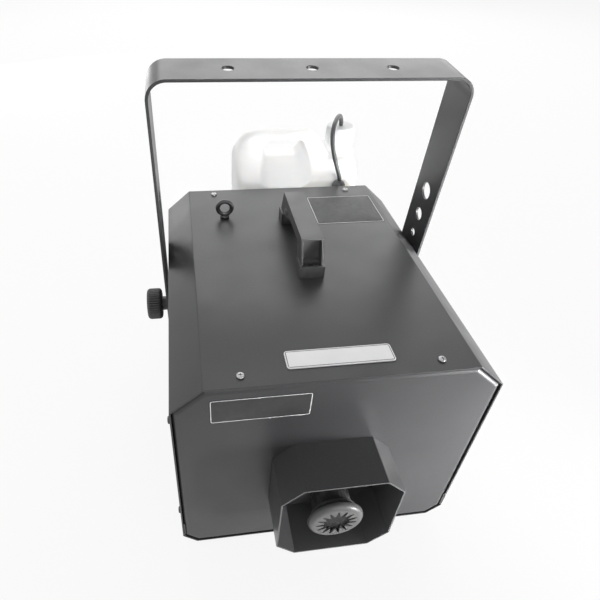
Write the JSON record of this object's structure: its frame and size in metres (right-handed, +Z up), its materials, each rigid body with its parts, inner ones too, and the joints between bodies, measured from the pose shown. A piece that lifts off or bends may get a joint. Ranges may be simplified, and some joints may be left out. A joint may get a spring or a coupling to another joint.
{
  "type": "fog machine",
  "caption": "Sheet-metal effect machine with an octagonal front outlet, tilting yoke, carrying handle, lifting eye and a fluid can on a rear tray.",
  "frame": {"origin": "middle of the whole object's footprint, on the surface its feet stand on", "axes": "+Z up, the outlet faces -Y, +X is to the right of a person who faces the outlet"},
  "size_m": [0.3654, 0.5364, 0.4566],
  "materials": {
    "black_coat": "satin black powder coat on steel sheet",
    "black_plastic": "moulded black plastic",
    "black_screw": "black oxide steel",
    "circuit_board": "green circuit board with moulded components",
    "clear_tube": "clear soft tube",
    "grey_plastic": "moulded grey plastic",
    "natural_polythene": "natural translucent polythene",
    "pump_brass": "brass barrel with a varnished coil",
    "rubber_foot": "moulded black rubber",
    "rubber_hose": "black rubber hose",
    "rubber_washer": "black rubber",
    "white_plate": "bare white laminate plate",
    "zinc_screw": "bright zinc plate",
    "zinc_steel": "zinc-plated steel"
  },
  "bodies": {
    "cabinet": {"cover_shell": "black_coat", "base_pan": "black_coat", "front_panel": "black_coat", "foot_front_left": "rubber_foot", "foot_front_right": "rubber_foot", "foot_rear_left": "rubber_foot", "foot_rear_right": "rubber_foot", "cover_screw_front_left": "zinc_screw", "cover_screw_front_right": "zinc_screw", "cover_screw_rear_left": "zinc_screw", "cover_screw_rear_right": "zinc_screw", "side_screw_left_low": "black_screw", "side_screw_left_high": "black_screw", "side_screw_right_low": "black_screw", "side_screw_right_high": "black_screw", "outlet_duct": "black_coat", "nozzle_cup": "grey_plastic", "nozzle_gauze": "zinc_steel", "air_pipe": "black_plastic", "spray_jet": "zinc_steel", "blower_housing": "black_plastic", "blower_motor": "zinc_steel", "pump_body": "pump_brass", "feed_tube": "clear_tube", "inlet_tube": "clear_tube", "control_board": "circuit_board", "rear_panel": "black_coat", "mains_inlet": "black_plastic", "fuse_holder": "black_plastic", "remote_socket": "black_plastic", "switch_frame": "black_plastic", "level_pot": "zinc_steel", "button_bezel": "zinc_steel", "name_plate": "white_plate", "carry_handle": "black_plastic", "handle_screw_front": "black_screw", "handle_screw_rear": "black_screw", "lifting_eye": "black_screw", "lifting_eye_nut": "zinc_steel", "pivot_washer_left": "rubber_washer", "pivot_nut_left": "zinc_steel", "pivot_washer_right": "rubber_washer", "pivot_nut_right": "zinc_steel", "can_tray": "black_coat", "hose_elbow": "black_plastic", "suction_hose": "rubber_hose"},
    "yoke": {"yoke": "black_coat"},
    "knob_left": {"knob_left": "black_plastic"},
    "knob_right": {"knob_right": "black_plastic"},
    "blower_wheel": {"blower_wheel": "black_plastic"},
    "switch_rocker": {"switch_rocker": "black_plastic"},
    "level_dial": {"level_dial": "black_plastic"},
    "run_button": {"run_button": "rubber_washer"},
    "fuse_cap": {"fuse_cap": "black_plastic"},
    "pump_plunger": {"pump_plunger": "zinc_steel"},
    "can": {"fluid_can": "natural_polythene", "pickup_tube": "clear_tube", "pickup_filter": "black_plastic"},
    "can_cap": {"can_cap": "natural_polythene"}
  },
  "joints": [
    {"name": "yoke_tilt", "type": "hinge", "parent": "cabinet", "child": "yoke", "pos_m": [0, 0.0232, 0.155], "axis": [1, 0, 0], "range_deg": [-114, 85]},
    {"name": "knob_left_turn", "type": "hinge", "parent": "cabinet", "child": "knob_left", "pos_m": [0, 0.0232, 0.155], "axis": [-1, 0, 0], "range_deg": [0, 720]},
    {"name": "knob_right_turn", "type": "hinge", "parent": "cabinet", "child": "knob_right", "pos_m": [0, 0.0232, 0.155], "axis": [1, 0, 0], "range_deg": [0, 720]},
    {"name": "blower_spin", "type": "hinge", "parent": "cabinet", "child": "blower_wheel", "pos_m": [0, -0.0158, 0.144], "axis": [1, 0, 0], "continuous": true},
    {"name": "rocker_tip", "type": "hinge", "parent": "cabinet", "child": "switch_rocker", "pos_m": [-0.104, 0.1125, 0.147], "axis": [1, 0, 0], "range_deg": [0, 18]},
    {"name": "dial_turn", "type": "hinge", "parent": "cabinet", "child": "level_dial", "pos_m": [-0.121, 0.1155, 0.186], "axis": [0, -1, 0], "range_deg": [-150, 150]},
    {"name": "button_press", "type": "slide", "parent": "cabinet", "child": "run_button", "axis": [0, -1, 0], "range_m": [0, 0.0025], "stiffness_N_per_m": 800, "springref_m": -0.0005},
    {"name": "fuse_cap_turn", "type": "hinge", "parent": "cabinet", "child": "fuse_cap", "pos_m": [-0.121, 0.1175, 0.11], "axis": [0, 1, 0], "range_deg": [0, 60]},
    {"name": "plunger_stroke", "type": "slide", "parent": "cabinet", "child": "pump_plunger", "axis": [0, 1, 0], "range_m": [-0.0015, 0.0015], "stiffness_N_per_m": 2000},
    {"name": "can_lift", "type": "slide", "parent": "cabinet", "child": "can", "axis": [0, 0, 1], "range_m": [0, 0.035], "deforming": ["suction_hose"]},
    {"name": "cap_turn", "type": "hinge", "parent": "can", "child": "can_cap", "pos_m": [0.103, 0.2032, 0.293], "axis": [0, 0, 1], "range_deg": [0, 540]}
  ]
}
